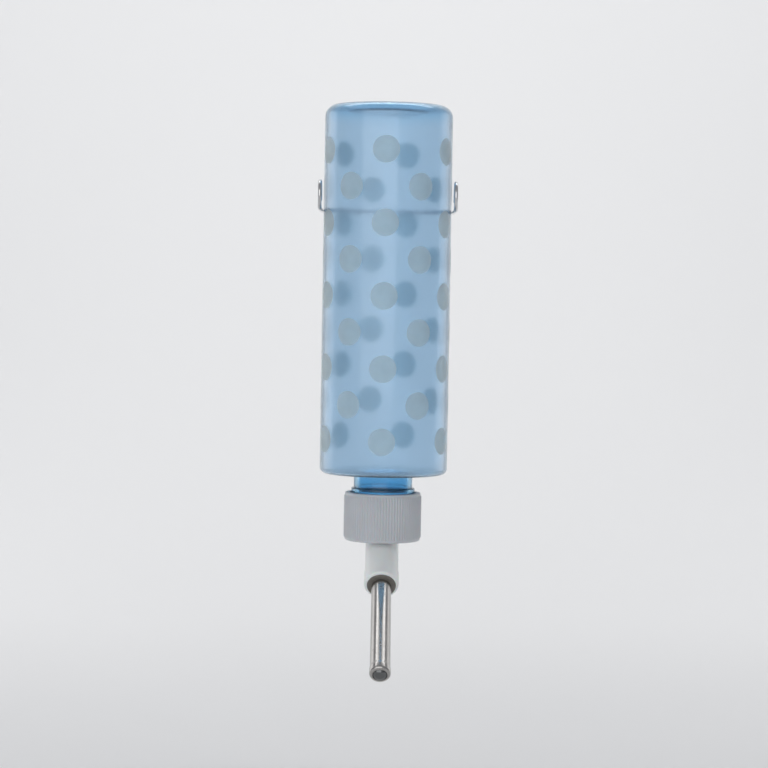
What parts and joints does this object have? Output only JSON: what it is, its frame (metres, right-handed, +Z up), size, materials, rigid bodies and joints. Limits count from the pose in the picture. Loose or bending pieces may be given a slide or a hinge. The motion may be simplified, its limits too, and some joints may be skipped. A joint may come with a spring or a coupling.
{
  "type": "small animal water bottle",
  "caption": "Wire-hung upside-down water bottle with a ribbed screw cap, angled nozzle and steel drinking tube closed by balls.",
  "frame": {"origin": "on the axis of the cage bar that the hanger's eyes hook over, midway between the two eyes", "axes": "+X along the cage bar, +Z up towards the bottle's closed base, -Y into the cage, the way the drinking tube points"},
  "size_m": [0.0662, 0.1113, 0.269],
  "materials": {
    "hanger_steel": "bright nickel-plated spring wire",
    "bottle_plastic": "translucent pale blue blow-moulded plastic, glossy",
    "dot_ink": "white screen-printed dots, slightly see-through",
    "cap_plastic": "white moulded plastic, satin",
    "washer_silicone": "pale silicone",
    "nozzle_plastic": "white moulded plastic, satin",
    "seal_rubber": "black rubber",
    "tube_steel": "drawn stainless tube, polished",
    "ball_steel": "polished ball-bearing steel"
  },
  "bodies": {
    "hanger": {"wire_hanger": "hanger_steel"},
    "bottle": {"bottle": "bottle_plastic"},
    "cap": {"screw_cap": "cap_plastic"},
    "washer": {"sealing_washer": "washer_silicone"},
    "nozzle": {"nozzle_elbow": "nozzle_plastic", "tube_seal": "seal_rubber", "spout_tube": "tube_steel"},
    "tip_ball": {"tip_ball": "ball_steel"},
    "back_ball": {"back_ball": "ball_steel"}
  },
  "joints": [
    {"name": "bottle_slide", "type": "slide", "parent": "hanger", "child": "bottle", "axis": [0, 0, 1], "range_m": [-0.04, 0.12]},
    {"name": "cap_drop", "type": "slide", "parent": "bottle", "child": "washer", "axis": [0, 0, -1], "range_m": [0, 0.008]},
    {"name": "cap_turn", "type": "hinge", "parent": "washer", "child": "cap", "pos_m": [0, 0.033, -0.155], "axis": [0, 0, -1], "range_deg": [0, 720]},
    {"name": "spout_swivel", "type": "hinge", "parent": "washer", "child": "nozzle", "pos_m": [0, 0.033, -0.165], "axis": [0, 0, 1], "continuous": true},
    {"name": "ball_push", "type": "slide", "parent": "nozzle", "child": "tip_ball", "axis": [0, 0.8241, 0.5664], "range_m": [0, 0.003]},
    {"name": "back_ball_push", "type": "slide", "parent": "nozzle", "child": "back_ball", "axis": [0, 0.8241, 0.5664], "range_m": [0, 0.003]}
  ],
  "couplings": [
    {"joint": "cap_drop", "follows": "cap_turn", "m_per_rad": 0.00063662},
    {"joint": "back_ball_push", "follows": "ball_push", "ratio": 1}
  ]
}
